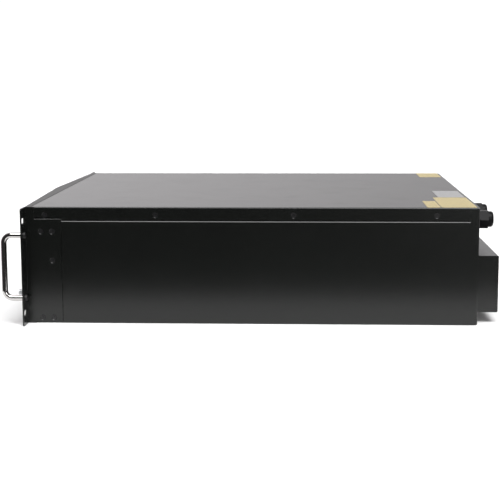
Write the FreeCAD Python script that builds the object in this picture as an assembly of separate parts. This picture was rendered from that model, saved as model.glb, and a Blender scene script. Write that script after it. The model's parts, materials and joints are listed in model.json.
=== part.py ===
"""Server rack battery: a 3U, 19 inch lithium iron phosphate battery, in millimetres.

+X runs from the front panel to the rear, +Y to the left as seen from the front, +Z up.
Every piece is drawn with x = 0 at the cover's front edge and y = 0 on the centre line;
save() then moves it so that the origin is the bottom centre of the whole object's box.
"""
import FreeCAD, Part
import math
import os

Vector = FreeCAD.Vector

# ---------------------------------------------------------------- driving dimensions
# Enclosure
BODY_LENGTH = 500.0          # cover, front edge to rear face
BODY_WIDTH = 440.0           # between the outer faces of the side walls
BODY_HEIGHT = 132.5          # a 3U panel
RACK_WIDTH = 482.6           # over the ears, 19 inches
TRAY_T = 1.5                 # folded steel tray
COVER_T = 1.2                # folded steel cover
EAR_T = 1.5                  # ear brackets
FASCIA_T = 1.5               # front fascia
SUBPANEL_T = 1.5             # flat panel behind the fascia
BEND_R = 2.0                 # outer radius of the sheet metal bends
COVER_BEND_R = 1.5           # the cover is bent sharper
PANEL_GAP = 0.3              # visible joint between neighbouring panels
FASCIA_GAP = 0.9             # wider joint between the fascia and the cover
SHEET_RETURN = 12.0          # folded edges of the flat panel behind the fascia
SLIP = 0.15                  # between pieces that lie against each other
COVER_SEAT = 0.6             # the tray's walls stop this far below the cover's underside

# Cover lip and the shoulder under it
LIP_BOTTOM_Z = 118.0         # lower edge of the cover's side lip
SHOULDER_H = 1.9             # height of the sloping shoulder below the lip
LIP_START_X = 3.2            # the lip starts behind the ear bracket's fold
REAR_CORNER_L = 10.0         # full height corner of the tray behind the lip
RELIEF_L = 2.2               # relief hole at the lip's rear end
RELIEF_H = 2.1

# Ear brackets
EAR_FRONT_X = -8.0           # front face of the ears
BRACKET_END_X = 33.0         # rear edge of the bracket's side plate
BRACKET_TOP_Z = 119.6        # top edge of the side plate, below the notched lip
BRACKET_SLIT = 1.4           # open joint between the side plate and the lip
BRACKET_BOTTOM_Z = 2.4
SEAM_GAP = 0.9               # open joint behind the side plate
RACK_HOLE_PITCH = 465.1      # across the rack
EAR_SLOT_PITCH_Z = 104.0
BRACKET_BEVEL = 1.2          # along the plate's top edge
EAR_SLOT_W = 6.5
EAR_SLOT_L = 13.0
BRACKET_SCREWS = ((10.5, 104.8), (23.0, 104.8), (23.0, 71.8), (10.5, 6.6), (23.0, 6.6))
COVER_SCREW_X = (15.3, 140.0, 294.5, 452.8)
COVER_SCREW_Z = 123.4

# Handles
HANDLE_ROD_R = 3.3
HANDLE_PITCH = 71.0          # between the two legs
HANDLE_REACH = 24.8          # ear face to the outside of the bar
HANDLE_BEND_R = 8.5          # on the rod's centre line

# Fascia, a shallow prow in plan
PROW = 8.0                   # how far the middle stands out beyond the ends
NOTCH_W = 14.0               # finger notch in the top front edge
NOTCH_DEPTH = 1.3
NOTCH_Y = -33.0
FASCIA_EDGE_R = 1.0
FASCIA_SCREW_INSET = 13.0    # from the fascia's end
FASCIA_SCREW_Z = 14.0        # from its bottom and top
BOSS_WALL = 2.0              # around the shank of a fascia screw

# Screws
CSK_HEAD_R = 2.9
CSK_SHANK_R = 1.5
CSK_HEAD_H = 1.4
CSK_LENGTH = 6.5
CSK_SINK = 0.35              # how far the head sits below the face
PAN_HEAD_R = 3.6
PAN_HEAD_H = 2.2
PAN_SHANK_R = 2.0
PAN_LENGTH = 10.0
SCREW_CLEAR = 0.1            # radial, around every shank
CSK_INNER_HOLE_R = 2.0       # in the sheets behind, where the head's tip passes too
CSK_RECESS = (2.6, 1.0)      # width and depth of the cross
PAN_RECESS = (3.8, 1.4)
PAN_RIM_R = 1.2

# Rear box
BOX_DEPTH = 24.7
BOX_INSET = 15.0             # from the chassis side to the box's side
BOX_BOTTOM_Z = 12.3
BOX_TOP_Z = 76.7
BOX_T = 1.2
BOX_FLANGE = 10.0
BOX_EDGE_R = 2.0
BOX_SCREWS = 5               # in each flange
BOX_SCREW_INSET = 15.0       # from the flange's end
VENT_COUNT = 30
VENT_W = 3.0
VENT_H = 38.0
VENT_PITCH = 9.0

# Cable glands, M16 size
GLAND_FIRST_Y = -160.0
GLAND_PITCH = 75.0
GLAND_Z = 112.6
GLAND_AF = 20.0              # across the flats of the hexagons
GLAND_THREAD_R = 0.4 * GLAND_AF
GLAND_BORE_R = 0.225 * GLAND_AF
GLAND_FLANGE_H = 5.5
GLAND_SPIGOT_R = 0.365 * GLAND_AF
GLAND_SPIGOT_L = 9.5
GLAND_TAIL_L = 10.0
GLAND_CAP_L = 16.3
GLAND_CAP_HEX_L = 10.0
GLAND_CAP_GAP = 1.5          # flange to a tight cap
GLAND_LOOSE = 3.6            # how much further out the second cap stands
GLAND_SEAL_L = 4.5
GLAND_SEAL_CLEAR = 0.2       # radial, between the seal and the cap
GLAND_CORNER_R = 0.54 * GLAND_AF  # where the hexagon's corners are turned away at its end
GLAND_CORNER_SLOPE = 1.0     # and how fast that grows along the axis
GLAND_DOME_INSET = 0.9
GLAND_DOME_R = 3.2
GLAND_NOSE_T = 3.0           # the cap's end wall
GLAND_NOSE_CLEAR = 0.6       # the cap's hole is this much wider than the bore, radially
LOCKNUT_H = 5.0
RUNNING_CLEAR = 0.3          # between pieces that move against each other

# Cells, 16 in two rows of eight
CELL_T = 49.8                # along the width of the chassis
CELL_W = 160.0               # along its length
CELL_H = 118.0
CELL_EDGE_R = 3.0
CELL_VENT_R = 8.0
CELLS_IN_ROW = 8
CELL_SPACER_T = 0.6
CELL_ROW_GAP = 2.0
CELL_REAR_GAP = 28.0         # from the rear row to the cover's rear end
END_PLATE_T = 3.0
END_RIB_T = 3.0
END_RIB_W = 6.0
END_RIB_Z = (20.0, 52.0, 84.0)
POST_R = 7.0
POST_H = 2.0
POST_OFFSET = 59.0           # from the cell's middle, along its width
BUSBAR_T = 2.0
BUSBAR_W = 22.0
BUSBAR_EDGE_R = 3.0
MAIN_RUN_W = 7.0             # the main bars' run along the end plate
INSULATION_T = 1.0

# Battery management board and its heat sink
BMS_LENGTH = 320.0
BMS_HEIGHT = 84.0
BMS_T = 1.6
BMS_Z = 6.0
BMS_CELL_GAP = 3.0
MOSFET_T = 4.6
MOSFET_W, MOSFET_H = 10.0, 15.0
MOSFET_COUNT = 14
MOSFET_PITCH = 20.0
MOSFET_RISE = 4.0            # above the heat sink's lower edge
SINK_BASE_T = 6.0
SINK_HEIGHT = 50.0
SINK_LENGTH = 300.0
SINK_CLEAR = 2.0             # around the fins in the rear wall's window
SINK_FOOT_W = 16.0           # end feet, screwed to the rear wall beside the window
FIN_T = 2.0
FIN_PITCH = 10.0
FIN_TIP_GAP = 4.0            # between the fin tips and the rear box

# Front components: y, z of the middle of each
BREAKER_Y, BREAKER_Z = 96.0, 68.0
BREAKER_W = 36.0
BREAKER_H = 82.0
BREAKER_NOSE_H = 45.0
BREAKER_DEPTH = 62.0
BREAKER_PROUD = 2.0
LEVER_HUB_R = 6.0
LEVER_W = 30.0
LEVER_T = 5.0
LEVER_REACH = 20.0
LEVER_REST_DEG = 38.0        # below the horizontal when switched off
LEVER_TIP_R = 1.8
LEVER_PIVOT_DEPTH = 4.7      # behind the nose's face
LEVER_MOUTH_H = 16.4
BREAKER_EDGE_R = 0.8
POLE_SPLIT = 0.6             # groove between the two poles, width and depth
TERMINAL_Y = (190.0, 146.0)
TERMINAL_Z = 68.0
TERMINAL_SIZE = 34.0
TERMINAL_PROUD = 6.0
TERMINAL_WELL_R = 12.0
TERMINAL_WELL_DEPTH = 12.0
TERMINAL_EDGE_R = 3.0
TERMINAL_BACK = 16.0         # behind the subpanel
COLLAR_W = 3.0               # the flange that stops the block behind the subpanel
COLLAR_T = 2.5
LUG_SLOT_W = 16.0
STUD_R = 4.0
STUD_LENGTH = 15.0
STUD_AF = 13.0
STUD_SHOULDER_H = 4.0
STUD_NUT_H = 5.0
STUD_TAIL = 8.0              # behind the block
DISPLAY_Y, DISPLAY_Z = 40.0, 84.0
DISPLAY_W, DISPLAY_H, DISPLAY_T = 52.0, 28.0, 1.8
DISPLAY_PROUD = 0.4
DISPLAY_BORDER = 3.0         # the ledge in the fascia that the window is glued to
DISPLAY_EDGE_R = 0.3
FASCIA_REAR_GAP = 7.0        # the display's module reaches this far into the hollow fascia
LED_Z = 56.0
LED_COUNT = 6
LED_PITCH = 8.0
LED_R = 1.5
LED_PROUD = 0.6
BUTTON_Y, BUTTON_Z = -36.0, 68.0
BUTTON_R = 7.5
BUTTON_PROUD = 2.6
BUTTON_L = 14.0              # behind the fascia's face
BUTTON_BEZEL_R = 10.5
BUTTON_EDGE_R = 0.7
BUTTON_BARREL_R = 8.8
BEZEL_T = 1.6
BARREL_L = 22.0
BARREL_FLOOR_T = 4.0
DISH_R = 30.0                # hollow in the button's cap
DISH_DEPTH = 0.5
PORT_COUNT = 4
PORT_FIRST_Y = -78.0
PORT_GAP = 0.4               # between neighbouring shells, behind one window
PORT_Z = 84.0
PORT_W, PORT_H = 15.8, 13.4
PORT_PROUD = 0.6
SOCKET_W, SOCKET_H, SOCKET_DEPTH = 11.8, 7.2, 12.0
SOCKET_DROP = 2.2            # the socket's floor below the shell's middle
LATCH_W, LATCH_H = 6.0, 2.6
DIP_Y, DIP_Z = -78.0, 54.0
DIP_W, DIP_H = 12.6, 9.8
DIP_COUNT = 4
DIP_PITCH = 2.54
DIP_SLIDER_W = 1.3
DIP_SLIDER_H = 1.9
DIP_TRAVEL = 2.0
DIP_SLOT_DEPTH = 2.0
DIP_SLIDER_PROUD = 0.5
DIP_SINK = 0.2
RESET_Y, RESET_Z = -108.0, 54.0
RESET_R = 1.8
RESET_SINK = 0.4
RESET_GAP = 2.5              # from the released button to the board
GROUND_Y, GROUND_Z = -190.0, 30.0
GROUND_STUD_R = 3.0
GROUND_STUD_L = 14.0         # in front of the fascia
GROUND_NUT_H = 5.0
GROUND_AF = 10.0
GROUND_TAIL = 10.0
BOARD_X = 14.0               # front face of the control board
BOARD_T = 1.6
BOARD_BOTTOM_Z, BOARD_TOP_Z = 40.0, 106.0
BOARD_MARGIN = 6.0           # beyond the display and the last port
CUTOUT_GAP = 0.4             # around a component in its cut-out

# Labels on the cover: x from the rear edge, y from the right side, length, width
LABEL_T = 0.12
LABEL_MARGIN = 1.6
LABEL_CORNER_R = 1.2
WARNING_LABELS = ((40.0, 0.0, 39.0, 104.5), (56.0, 0.0, 15.0, 65.5), (31.2, 374.5, 30.2, 62.5))
RATING_LABEL = (33.2, 106.5, 31.2, 75.0)

# ---------------------------------------------------------------- derived places
HALF_W = BODY_WIDTH / 2
EAR_END_Y = RACK_WIDTH / 2
HANDLE_Y = (HALF_W + EAR_END_Y) / 2
HANDLE_Z = BODY_HEIGHT / 2
HANDLE_FRONT_X = EAR_FRONT_X - HANDLE_REACH
TRAY_TOP_Z = BODY_HEIGHT - COVER_T - COVER_SEAT
CORNER_TOP_Z = BODY_HEIGHT - BEND_R - COVER_SEAT
JOGGLE = COVER_T + PANEL_GAP            # the side wall steps in by this under the lip
BRACKET_Y = HALF_W - EAR_T              # inner face of the bracket's side plate
FASCIA_END_Y = BRACKET_Y - PANEL_GAP
FASCIA_REAR_X = -FASCIA_GAP
FASCIA_BOTTOM_Z = 0.5
PROW_TILT = math.degrees(math.atan(PROW / FASCIA_END_Y))
WALL_Y = BRACKET_Y - SLIP               # outer face of the side wall behind the bracket
SUBPANEL_END_Y = WALL_Y - TRAY_T - SLIP
SUBPANEL_FLANGE = 15.0
REAR_X = BODY_LENGTH
CELL_REAR_X = REAR_X - CELL_REAR_GAP
CORNER_X = REAR_X - REAR_CORNER_L
BODY_STEP_X = BRACKET_END_X + SEAM_GAP  # the tray is narrower in front of this
SHOULDER_Z = LIP_BOTTOM_Z - PANEL_GAP - SHOULDER_H
RELIEF_Z = LIP_BOTTOM_Z - RELIEF_H / 2
REAR_TIP_X = (REAR_X + GLAND_FLANGE_H + GLAND_CAP_GAP + GLAND_CAP_L + GLAND_LOOSE)
ORIGIN_X = (HANDLE_FRONT_X + REAR_TIP_X) / 2
BOX_HALF_W = HALF_W - BOX_INSET
CELL_BOTTOM_Z = TRAY_T
CELL_TOP_Z = CELL_BOTTOM_Z + CELL_H
ROW_PITCH = CELL_W + CELL_ROW_GAP
ROW_X = (CELL_REAR_X - ROW_PITCH - CELL_W / 2, CELL_REAR_X - CELL_W / 2)
CELL_PITCH = CELL_T + CELL_SPACER_T
STACK_HALF = (CELLS_IN_ROW * CELL_T + (CELLS_IN_ROW - 1) * CELL_SPACER_T) / 2
BUSBAR_Z = CELL_TOP_Z + POST_H
STACK_FRONT_X = CELL_REAR_X - CELL_W - ROW_PITCH
SINK_Z = BMS_Z + (BMS_HEIGHT - SINK_HEIGHT) / 2
SINK_BASE_X = CELL_REAR_X + BMS_CELL_GAP + BMS_T + MOSFET_T
WINDOW_HALF_W = SINK_LENGTH / 2 + SINK_CLEAR


# ---------------------------------------------------------------- helpers
def box(x0, x1, y0, y1, z0, z1):
    return Part.makeBox(x1 - x0, y1 - y0, z1 - z0, Vector(x0, y0, z0))


def rod_x(x0, x1, y, z, radius):
    return Part.makeCylinder(radius, x1 - x0, Vector(x0, y, z), Vector(1, 0, 0))


def cone_x(x0, x1, y, z, r0, r1):
    return Part.makeCone(r0, r1, x1 - x0, Vector(x0, y, z), Vector(1, 0, 0))


def hexagon_x(x0, x1, y, z, across_flats):
    """A hexagonal bar along X with two flats level."""
    corner = across_flats / math.sqrt(3)
    angles = [math.radians(60 * i) for i in range(7)]
    points = [Vector(x0, y + corner * math.cos(a), z + corner * math.sin(a)) for a in angles]
    return Part.Face(Part.makePolygon(points)).extrude(Vector(x1 - x0, 0, 0))


def prism_z(points, z0, z1):
    corners = [Vector(x, y, z0) for x, y in points]
    return Part.Face(Part.makePolygon(corners + corners[:1])).extrude(Vector(0, 0, z1 - z0))


def prism_x(points, x0, x1):
    corners = [Vector(x0, y, z) for y, z in points]
    return Part.Face(Part.makePolygon(corners + corners[:1])).extrude(Vector(x1 - x0, 0, 0))


def fuse(shapes):
    shapes = list(shapes)
    joined = shapes[0].fuse(shapes[1:]) if len(shapes) > 1 else shapes[0]
    return merged(joined)


def merged(shape):
    """The shape with neighbouring coplanar faces made one, where that leaves it sound."""
    smooth = shape.removeSplitter()
    return smooth if smooth.isValid() and len(smooth.Solids) == len(shape.Solids) else shape


def both_sides(shape):
    """The shape and its mirror image across the centre line."""
    return [shape, mirrored(shape)]


def mirrored(shape):
    return shape.mirror(Vector(0, 0, 0), Vector(0, 1, 0))


def edges_where(shape, direction, test):
    """Straight edges along a direction whose middle passes the test."""
    found = []
    for edge in shape.Edges:
        if len(edge.Vertexes) != 2 or edge.Curve.TypeId != "Part::GeomLine":
            continue
        run = edge.Vertexes[1].Point - edge.Vertexes[0].Point
        if run.Length > 1e-6 and abs(abs(run.normalize() * direction) - 1) < 1e-6:
            if test(edge.CenterOfMass):
                found.append(edge)
    return found


def round_edges(shape, radius, direction, test):
    return shape.makeFillet(radius, edges_where(shape, direction, test))


ALONG_X, ALONG_Y, ALONG_Z = Vector(1, 0, 0), Vector(0, 1, 0), Vector(0, 0, 1)


def save(name, shape):
    placed = shape.copy()
    placed.translate(Vector(-ORIGIN_X, 0, 0))
    placed.exportStep(f"parts/{name}.step")


def save_group(name, shapes):
    save(name, Part.makeCompound(list(shapes)))


def face_x(y):
    """Front face of the fascia at a distance y from the centre line."""
    return EAR_FRONT_X - PROW * (1 - abs(y) / FASCIA_END_Y)


def on_face(shape, y, z):
    """Places a shape drawn about the origin, facing -X, square on the sloping fascia."""
    tilt = -PROW_TILT if y > 0 else PROW_TILT
    placed = shape.copy()
    placed.rotate(Vector(0, 0, 0), ALONG_Z, tilt)
    placed.translate(Vector(face_x(y), y, z))
    return placed


# ---------------------------------------------------------------- screws
def cross_recess(width, depth):
    """Two crossed slots that sink into a face at x = 0, towards +X."""
    slot = box(-0.01, depth, -width / 2, width / 2, -width / 7, width / 7)
    other = box(-0.01, depth, -width / 7, width / 7, -width / 2, width / 2)
    return slot.fuse(other)


def countersunk_screw():
    """Along +X, with its head's face at x = 0."""
    head = cone_x(0, CSK_HEAD_H, 0, 0, CSK_HEAD_R, CSK_SHANK_R)
    screw = fuse([head, rod_x(0, CSK_LENGTH, 0, 0, CSK_SHANK_R)])
    return screw.cut(cross_recess(*CSK_RECESS))


def pan_head_screw():
    """Along +X, with the underside of its head at x = 0."""
    head = rod_x(-PAN_HEAD_H, 0, 0, 0, PAN_HEAD_R)
    rim = [e for e in head.Edges if abs(e.CenterOfMass.x + PAN_HEAD_H) < 1e-6]
    head = head.makeFillet(PAN_RIM_R, rim)
    screw = fuse([head, rod_x(-PAN_HEAD_H / 4, PAN_LENGTH, 0, 0, PAN_SHANK_R)])
    recess = cross_recess(*PAN_RECESS)
    recess.translate(Vector(-PAN_HEAD_H, 0, 0))
    return screw.cut(recess)


def turned(shape, angle, x, y, z):
    """A shape that points along +X, turned about Z and moved to a place."""
    placed = shape.copy()
    placed.rotate(Vector(0, 0, 0), ALONG_Z, angle)
    placed.translate(Vector(x, y, z))
    return placed


def side_countersink(x, z):
    """What a countersunk screw in the right side needs: the dimple and the shank's hole."""
    spread = (CSK_HEAD_R - CSK_SHANK_R) / CSK_HEAD_H
    mouth = CSK_HEAD_R + CSK_SINK * spread
    dimple = Part.makeCone(mouth, CSK_SHANK_R, CSK_SINK + CSK_HEAD_H,
                           Vector(x, -HALF_W, z), ALONG_Y)
    return dimple.fuse(side_hole(x, z, CSK_SHANK_R + SCREW_CLEAR))


def side_hole(x, z, radius):
    """A round hole through everything at the right side."""
    return Part.makeCylinder(radius, CSK_LENGTH * 2, Vector(x, -HALF_W - CSK_SHANK_R, z), ALONG_Y)


def cover_screw_places():
    return [(x, COVER_SCREW_Z) for x in COVER_SCREW_X]


def side_screw_places():
    return list(BRACKET_SCREWS) + cover_screw_places()


def inner_side_holes():
    """Both sides' holes through the sheets behind the bracket and the cover's lip."""
    holes = []
    for x, z in side_screw_places():
        holes += both_sides(side_hole(x, z, CSK_INNER_HOLE_R))
    return holes


def fascia_screw_places():
    y = FASCIA_END_Y - FASCIA_SCREW_INSET
    heights = (FASCIA_SCREW_Z, BODY_HEIGHT - FASCIA_SCREW_Z)
    return [(s * y, z) for s in (-1, 1) for z in heights]


def handle_leg_places():
    return [(s * HANDLE_Y, HANDLE_Z + t * HANDLE_PITCH / 2) for s in (-1, 1) for t in (-1, 1)]


def rear_box_screw_places():
    first = -BOX_HALF_W + BOX_SCREW_INSET
    step = -2 * first / (BOX_SCREWS - 1)
    rows = (BOX_BOTTOM_Z - BOX_FLANGE / 2, BOX_TOP_Z + BOX_FLANGE / 2)
    return [(first + i * step, z) for z in rows for i in range(BOX_SCREWS)]


def sink_screw_places():
    y = WINDOW_HALF_W + SINK_FOOT_W / 2
    z = SINK_Z + SINK_HEIGHT / 2
    return [(s * y, z + t * SINK_HEIGHT / 4) for s in (-1, 1) for t in (-1, 1)]


def gland_places():
    return [GLAND_FIRST_Y, GLAND_FIRST_Y + GLAND_PITCH]


# ---------------------------------------------------------------- enclosure
def tray_section(inset):
    """The tray's section behind the ear brackets: upright sides that step in under the lip.

    With an inset it is the hollow inside the sheet, open above.
    """
    wall = HALF_W - inset
    step = HALF_W - JOGGLE - inset
    top = TRAY_TOP_Z + inset
    right = [(-wall, inset), (-wall, SHOULDER_Z), (-step, SHOULDER_Z + SHOULDER_H), (-step, top)]
    return right + [(-y, z) for y, z in reversed(right)]


def tray_body():
    """The outer form of the tray, solid: a narrower front part and the stepped body."""
    body = prism_x(tray_section(0), BODY_STEP_X, REAR_X)
    corner = box(CORNER_X, REAR_X, -HALF_W, -HALF_W + BEND_R + TRAY_T, 0, CORNER_TOP_Z)
    body = fuse([body] + both_sides(corner))
    body = round_edges(body, BEND_R, ALONG_X, lambda p: p.z < TRAY_T)
    body = round_edges(body, BEND_R, ALONG_Z,
                       lambda p: p.x > REAR_X - TRAY_T and abs(p.y) > HALF_W - JOGGLE / 2)
    front = box(0, BODY_STEP_X + TRAY_T / 2, -WALL_Y, WALL_Y, 0, TRAY_TOP_Z)
    return fuse([body, front])


def chassis_tray():
    hollow = prism_x(tray_section(TRAY_T), BODY_STEP_X + TRAY_T, CORNER_X)
    rear_hollow = box(CORNER_X - 1, REAR_X - TRAY_T, -HALF_W + JOGGLE + TRAY_T,
                      HALF_W - JOGGLE - TRAY_T, TRAY_T, BODY_HEIGHT)
    front_hollow = box(-1, BODY_STEP_X + TRAY_T + 1, -WALL_Y + TRAY_T, WALL_Y - TRAY_T,
                       TRAY_T, BODY_HEIGHT)
    relief = box(CORNER_X - RELIEF_L, CORNER_X, -HALF_W - 1, -HALF_W + JOGGLE + TRAY_T + 1,
                 RELIEF_Z, RELIEF_Z + RELIEF_H)
    cuts = [hollow, rear_hollow, front_hollow] + both_sides(relief) + inner_side_holes()
    cuts.append(box(REAR_X - TRAY_T - 1, REAR_X + 1, -WINDOW_HALF_W, WINDOW_HALF_W,
                    SINK_Z - SINK_CLEAR, SINK_Z + SINK_HEIGHT + SINK_CLEAR))
    cuts += [rod_x(REAR_X - 2 * TRAY_T, REAR_X + 1, y, GLAND_Z, GLAND_THREAD_R + SCREW_CLEAR)
             for y in gland_places()]
    cuts += [rod_x(REAR_X - 2 * TRAY_T, REAR_X + 1, y, z, PAN_SHANK_R + SCREW_CLEAR)
             for y, z in rear_box_screw_places() + sink_screw_places()]
    return merged(tray_body().cut(cuts))


def top_cover():
    outer = box(0, REAR_X, -HALF_W, HALF_W, LIP_BOTTOM_Z, BODY_HEIGHT)
    outer = round_edges(outer, COVER_BEND_R, ALONG_X, lambda p: p.z > BODY_HEIGHT - 1)
    inner = box(-1, REAR_X + 1, -HALF_W + COVER_T, HALF_W - COVER_T,
                LIP_BOTTOM_Z - 1, BODY_HEIGHT - COVER_T)
    inner = round_edges(inner, COVER_BEND_R - COVER_T, ALONG_X,
                        lambda p: p.z > BODY_HEIGHT - COVER_T - 1)
    cover = outer.cut(inner)
    lip_y = -HALF_W - 1
    front = box(-1, LIP_START_X, lip_y, -FASCIA_END_Y, LIP_BOTTOM_Z - 1, BODY_HEIGHT + 1)
    notch = box(-1, BODY_STEP_X, lip_y, -HALF_W + 3,
                LIP_BOTTOM_Z - 1, BRACKET_TOP_Z + BRACKET_SLIT)
    rear = box(REAR_X - REAR_CORNER_L - PANEL_GAP / 2, REAR_X + 1, lip_y, -HALF_W + 3,
               LIP_BOTTOM_Z - 1, CORNER_TOP_Z + PANEL_GAP)
    cuts = []
    for piece in (front, notch, rear):
        cuts += both_sides(piece)
    for x, z in cover_screw_places():
        cuts += both_sides(side_countersink(x, z))
    return merged(cover.cut(cuts))


def ear_bracket():
    """The right bracket: an angle with the ear outside and a plate along the side wall."""
    flange = box(EAR_FRONT_X, EAR_FRONT_X + EAR_T, -EAR_END_Y, -BRACKET_Y, 0, BODY_HEIGHT)
    fold = box(EAR_FRONT_X, LIP_START_X - PANEL_GAP, -HALF_W, -BRACKET_Y, 0, BODY_HEIGHT)
    plate = box(EAR_FRONT_X, BRACKET_END_X, -HALF_W, -BRACKET_Y, BRACKET_BOTTOM_Z, BRACKET_TOP_Z)
    rise = fold.fuse(plate)
    bracket = fuse([flange, rise])
    bracket = round_edges(bracket, BEND_R, ALONG_Z,
                          lambda p: abs(p.x - EAR_FRONT_X) < 0.1 and abs(p.y + BRACKET_Y) < 0.1)
    bracket = round_edges(bracket, BEND_R, ALONG_X,
                          lambda p: p.y < -EAR_END_Y + 0.1)
    bracket = bracket.makeChamfer(BRACKET_BEVEL, edges_where(
        bracket, ALONG_X,
        lambda p: abs(p.z - BRACKET_TOP_Z) < 0.1 and abs(p.y + HALF_W) < 0.1))
    cuts = [side_countersink(x, z) for x, z in BRACKET_SCREWS]
    for side in (-1, 1):
        z = BODY_HEIGHT / 2 + side * EAR_SLOT_PITCH_Z / 2
        cuts.append(ear_slot(z))
    for y, z in handle_leg_places():
        if y < 0:
            cuts.append(rod_x(EAR_FRONT_X - 1, 0, y, z, PAN_SHANK_R + SCREW_CLEAR))
    return merged(bracket.cut(cuts))


def ear_slot(z):
    reach = (EAR_SLOT_L - EAR_SLOT_W) / 2
    y = -RACK_HOLE_PITCH / 2
    x0, x1 = EAR_FRONT_X - 1, EAR_FRONT_X + EAR_T + 1
    ends = [rod_x(x0, x1, y + s * reach, z, EAR_SLOT_W / 2) for s in (-1, 1)]
    middle = box(x0, x1, y - reach, y + reach, z - EAR_SLOT_W / 2, z + EAR_SLOT_W / 2)
    return fuse(ends + [middle])


def handle():
    """The right handle, a bent round rod with a threaded hole in each end."""
    x_bar = HANDLE_FRONT_X + HANDLE_ROD_R
    low, high = HANDLE_Z - HANDLE_PITCH / 2, HANDLE_Z + HANDLE_PITCH / 2
    r = HANDLE_BEND_R
    y = -HANDLE_Y
    bend = r * (1 - math.cos(math.pi / 4))
    path = Part.Wire([
        Part.makeLine(Vector(EAR_FRONT_X, y, low), Vector(x_bar + r, y, low)),
        Part.Arc(Vector(x_bar + r, y, low), Vector(x_bar + bend, y, low + bend),
                 Vector(x_bar, y, low + r)).toShape(),
        Part.makeLine(Vector(x_bar, y, low + r), Vector(x_bar, y, high - r)),
        Part.Arc(Vector(x_bar, y, high - r), Vector(x_bar + bend, y, high - bend),
                 Vector(x_bar + r, y, high)).toShape(),
        Part.makeLine(Vector(x_bar + r, y, high), Vector(EAR_FRONT_X, y, high)),
    ])
    circle = Part.Wire(Part.makeCircle(HANDLE_ROD_R, Vector(EAR_FRONT_X, y, low), ALONG_X))
    rod = path.makePipeShell([circle], True, False)
    hole_depth = PAN_LENGTH - EAR_T + 1
    holes = [rod_x(EAR_FRONT_X - hole_depth, EAR_FRONT_X + 1, y, z, PAN_SHANK_R + SCREW_CLEAR)
             for z in (low, high)]
    return rod.cut(holes)


def prow_outline(inset):
    """The fascia's outline in plan, open towards the rear, with its skin moved in."""
    end = FASCIA_END_Y - inset
    ends_x = EAR_FRONT_X + inset
    middle_x = EAR_FRONT_X - PROW + inset
    rear_x = FASCIA_REAR_X + (1 if inset else 0)
    return [(rear_x, -end), (ends_x, -end), (middle_x, 0), (ends_x, end), (rear_x, end)]


def front_cutouts(clearance):
    """Openings for the front components, long enough for the fascia and the subpanel."""
    x0, x1 = EAR_FRONT_X - PROW - 2, SUBPANEL_T + 2
    g = clearance

    def window(y, z, width, height):
        return box(x0, x1, y - width / 2 - g, y + width / 2 + g,
                   z - height / 2 - g, z + height / 2 + g)

    cuts = [window(BREAKER_Y, BREAKER_Z, BREAKER_W, BREAKER_NOSE_H)]
    cuts += [window(y, TERMINAL_Z, TERMINAL_SIZE, TERMINAL_SIZE) for y in TERMINAL_Y]
    middle = (port_y(0) + port_y(PORT_COUNT - 1)) / 2
    cuts.append(window(middle, PORT_Z, PORT_COUNT * (PORT_W + PORT_GAP) - PORT_GAP, PORT_H))
    cuts.append(window(DIP_Y, DIP_Z, DIP_W, DIP_H))
    cuts.append(rod_x(x0, x1, RESET_Y, RESET_Z, RESET_R + g))
    cuts.append(rod_x(x0, x1, GROUND_Y, GROUND_Z, GROUND_STUD_R + SCREW_CLEAR))
    cuts += [rod_x(x0, x1, led_y(i), LED_Z, LED_R + SLIP) for i in range(LED_COUNT)]
    return cuts


def port_y(index):
    return PORT_FIRST_Y - index * (PORT_W + PORT_GAP)


def led_y(index):
    return DISPLAY_Y + (index - (LED_COUNT - 1) / 2) * LED_PITCH


def front_fascia():
    skin = prism_z(prow_outline(0), FASCIA_BOTTOM_Z, BODY_HEIGHT)
    front = [e for e in skin.Edges
             if e.BoundBox.ZLength < 0.1 and e.CenterOfMass.x < EAR_FRONT_X - 0.5]
    skin = skin.makeFillet(FASCIA_EDGE_R, front)
    hollow = prism_z(prow_outline(FASCIA_T), FASCIA_BOTTOM_Z + FASCIA_T, BODY_HEIGHT - FASCIA_T)
    cuts = [hollow] + front_cutouts(CUTOUT_GAP)
    notch = box(-NOTCH_DEPTH, NOTCH_DEPTH, -NOTCH_W / 2, NOTCH_W / 2, -4, 2)
    notch = on_face(notch, NOTCH_Y, BODY_HEIGHT)
    cuts.append(notch)
    cuts += [rod_x(EAR_FRONT_X - PROW, 0, y, z, PAN_SHANK_R + SCREW_CLEAR)
             for y, z in fascia_screw_places()]
    half_w, half_h = DISPLAY_W / 2 + SLIP, DISPLAY_H / 2 + SLIP
    recess = box(-1, DISPLAY_T - DISPLAY_PROUD, -half_w, half_w, -half_h, half_h)
    half_w, half_h = DISPLAY_W / 2 - DISPLAY_BORDER, DISPLAY_H / 2 - DISPLAY_BORDER
    view = box(-1, 2 * FASCIA_T + 1, -half_w, half_w, -half_h, half_h)
    cuts.append(on_face(recess.fuse(view), DISPLAY_Y, DISPLAY_Z))
    barrel = rod_x(-1, 2 * FASCIA_T + 1, 0, 0, BUTTON_BARREL_R + SLIP)
    cuts.append(on_face(barrel, BUTTON_Y, BUTTON_Z))
    return merged(skin.cut(cuts))


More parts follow.
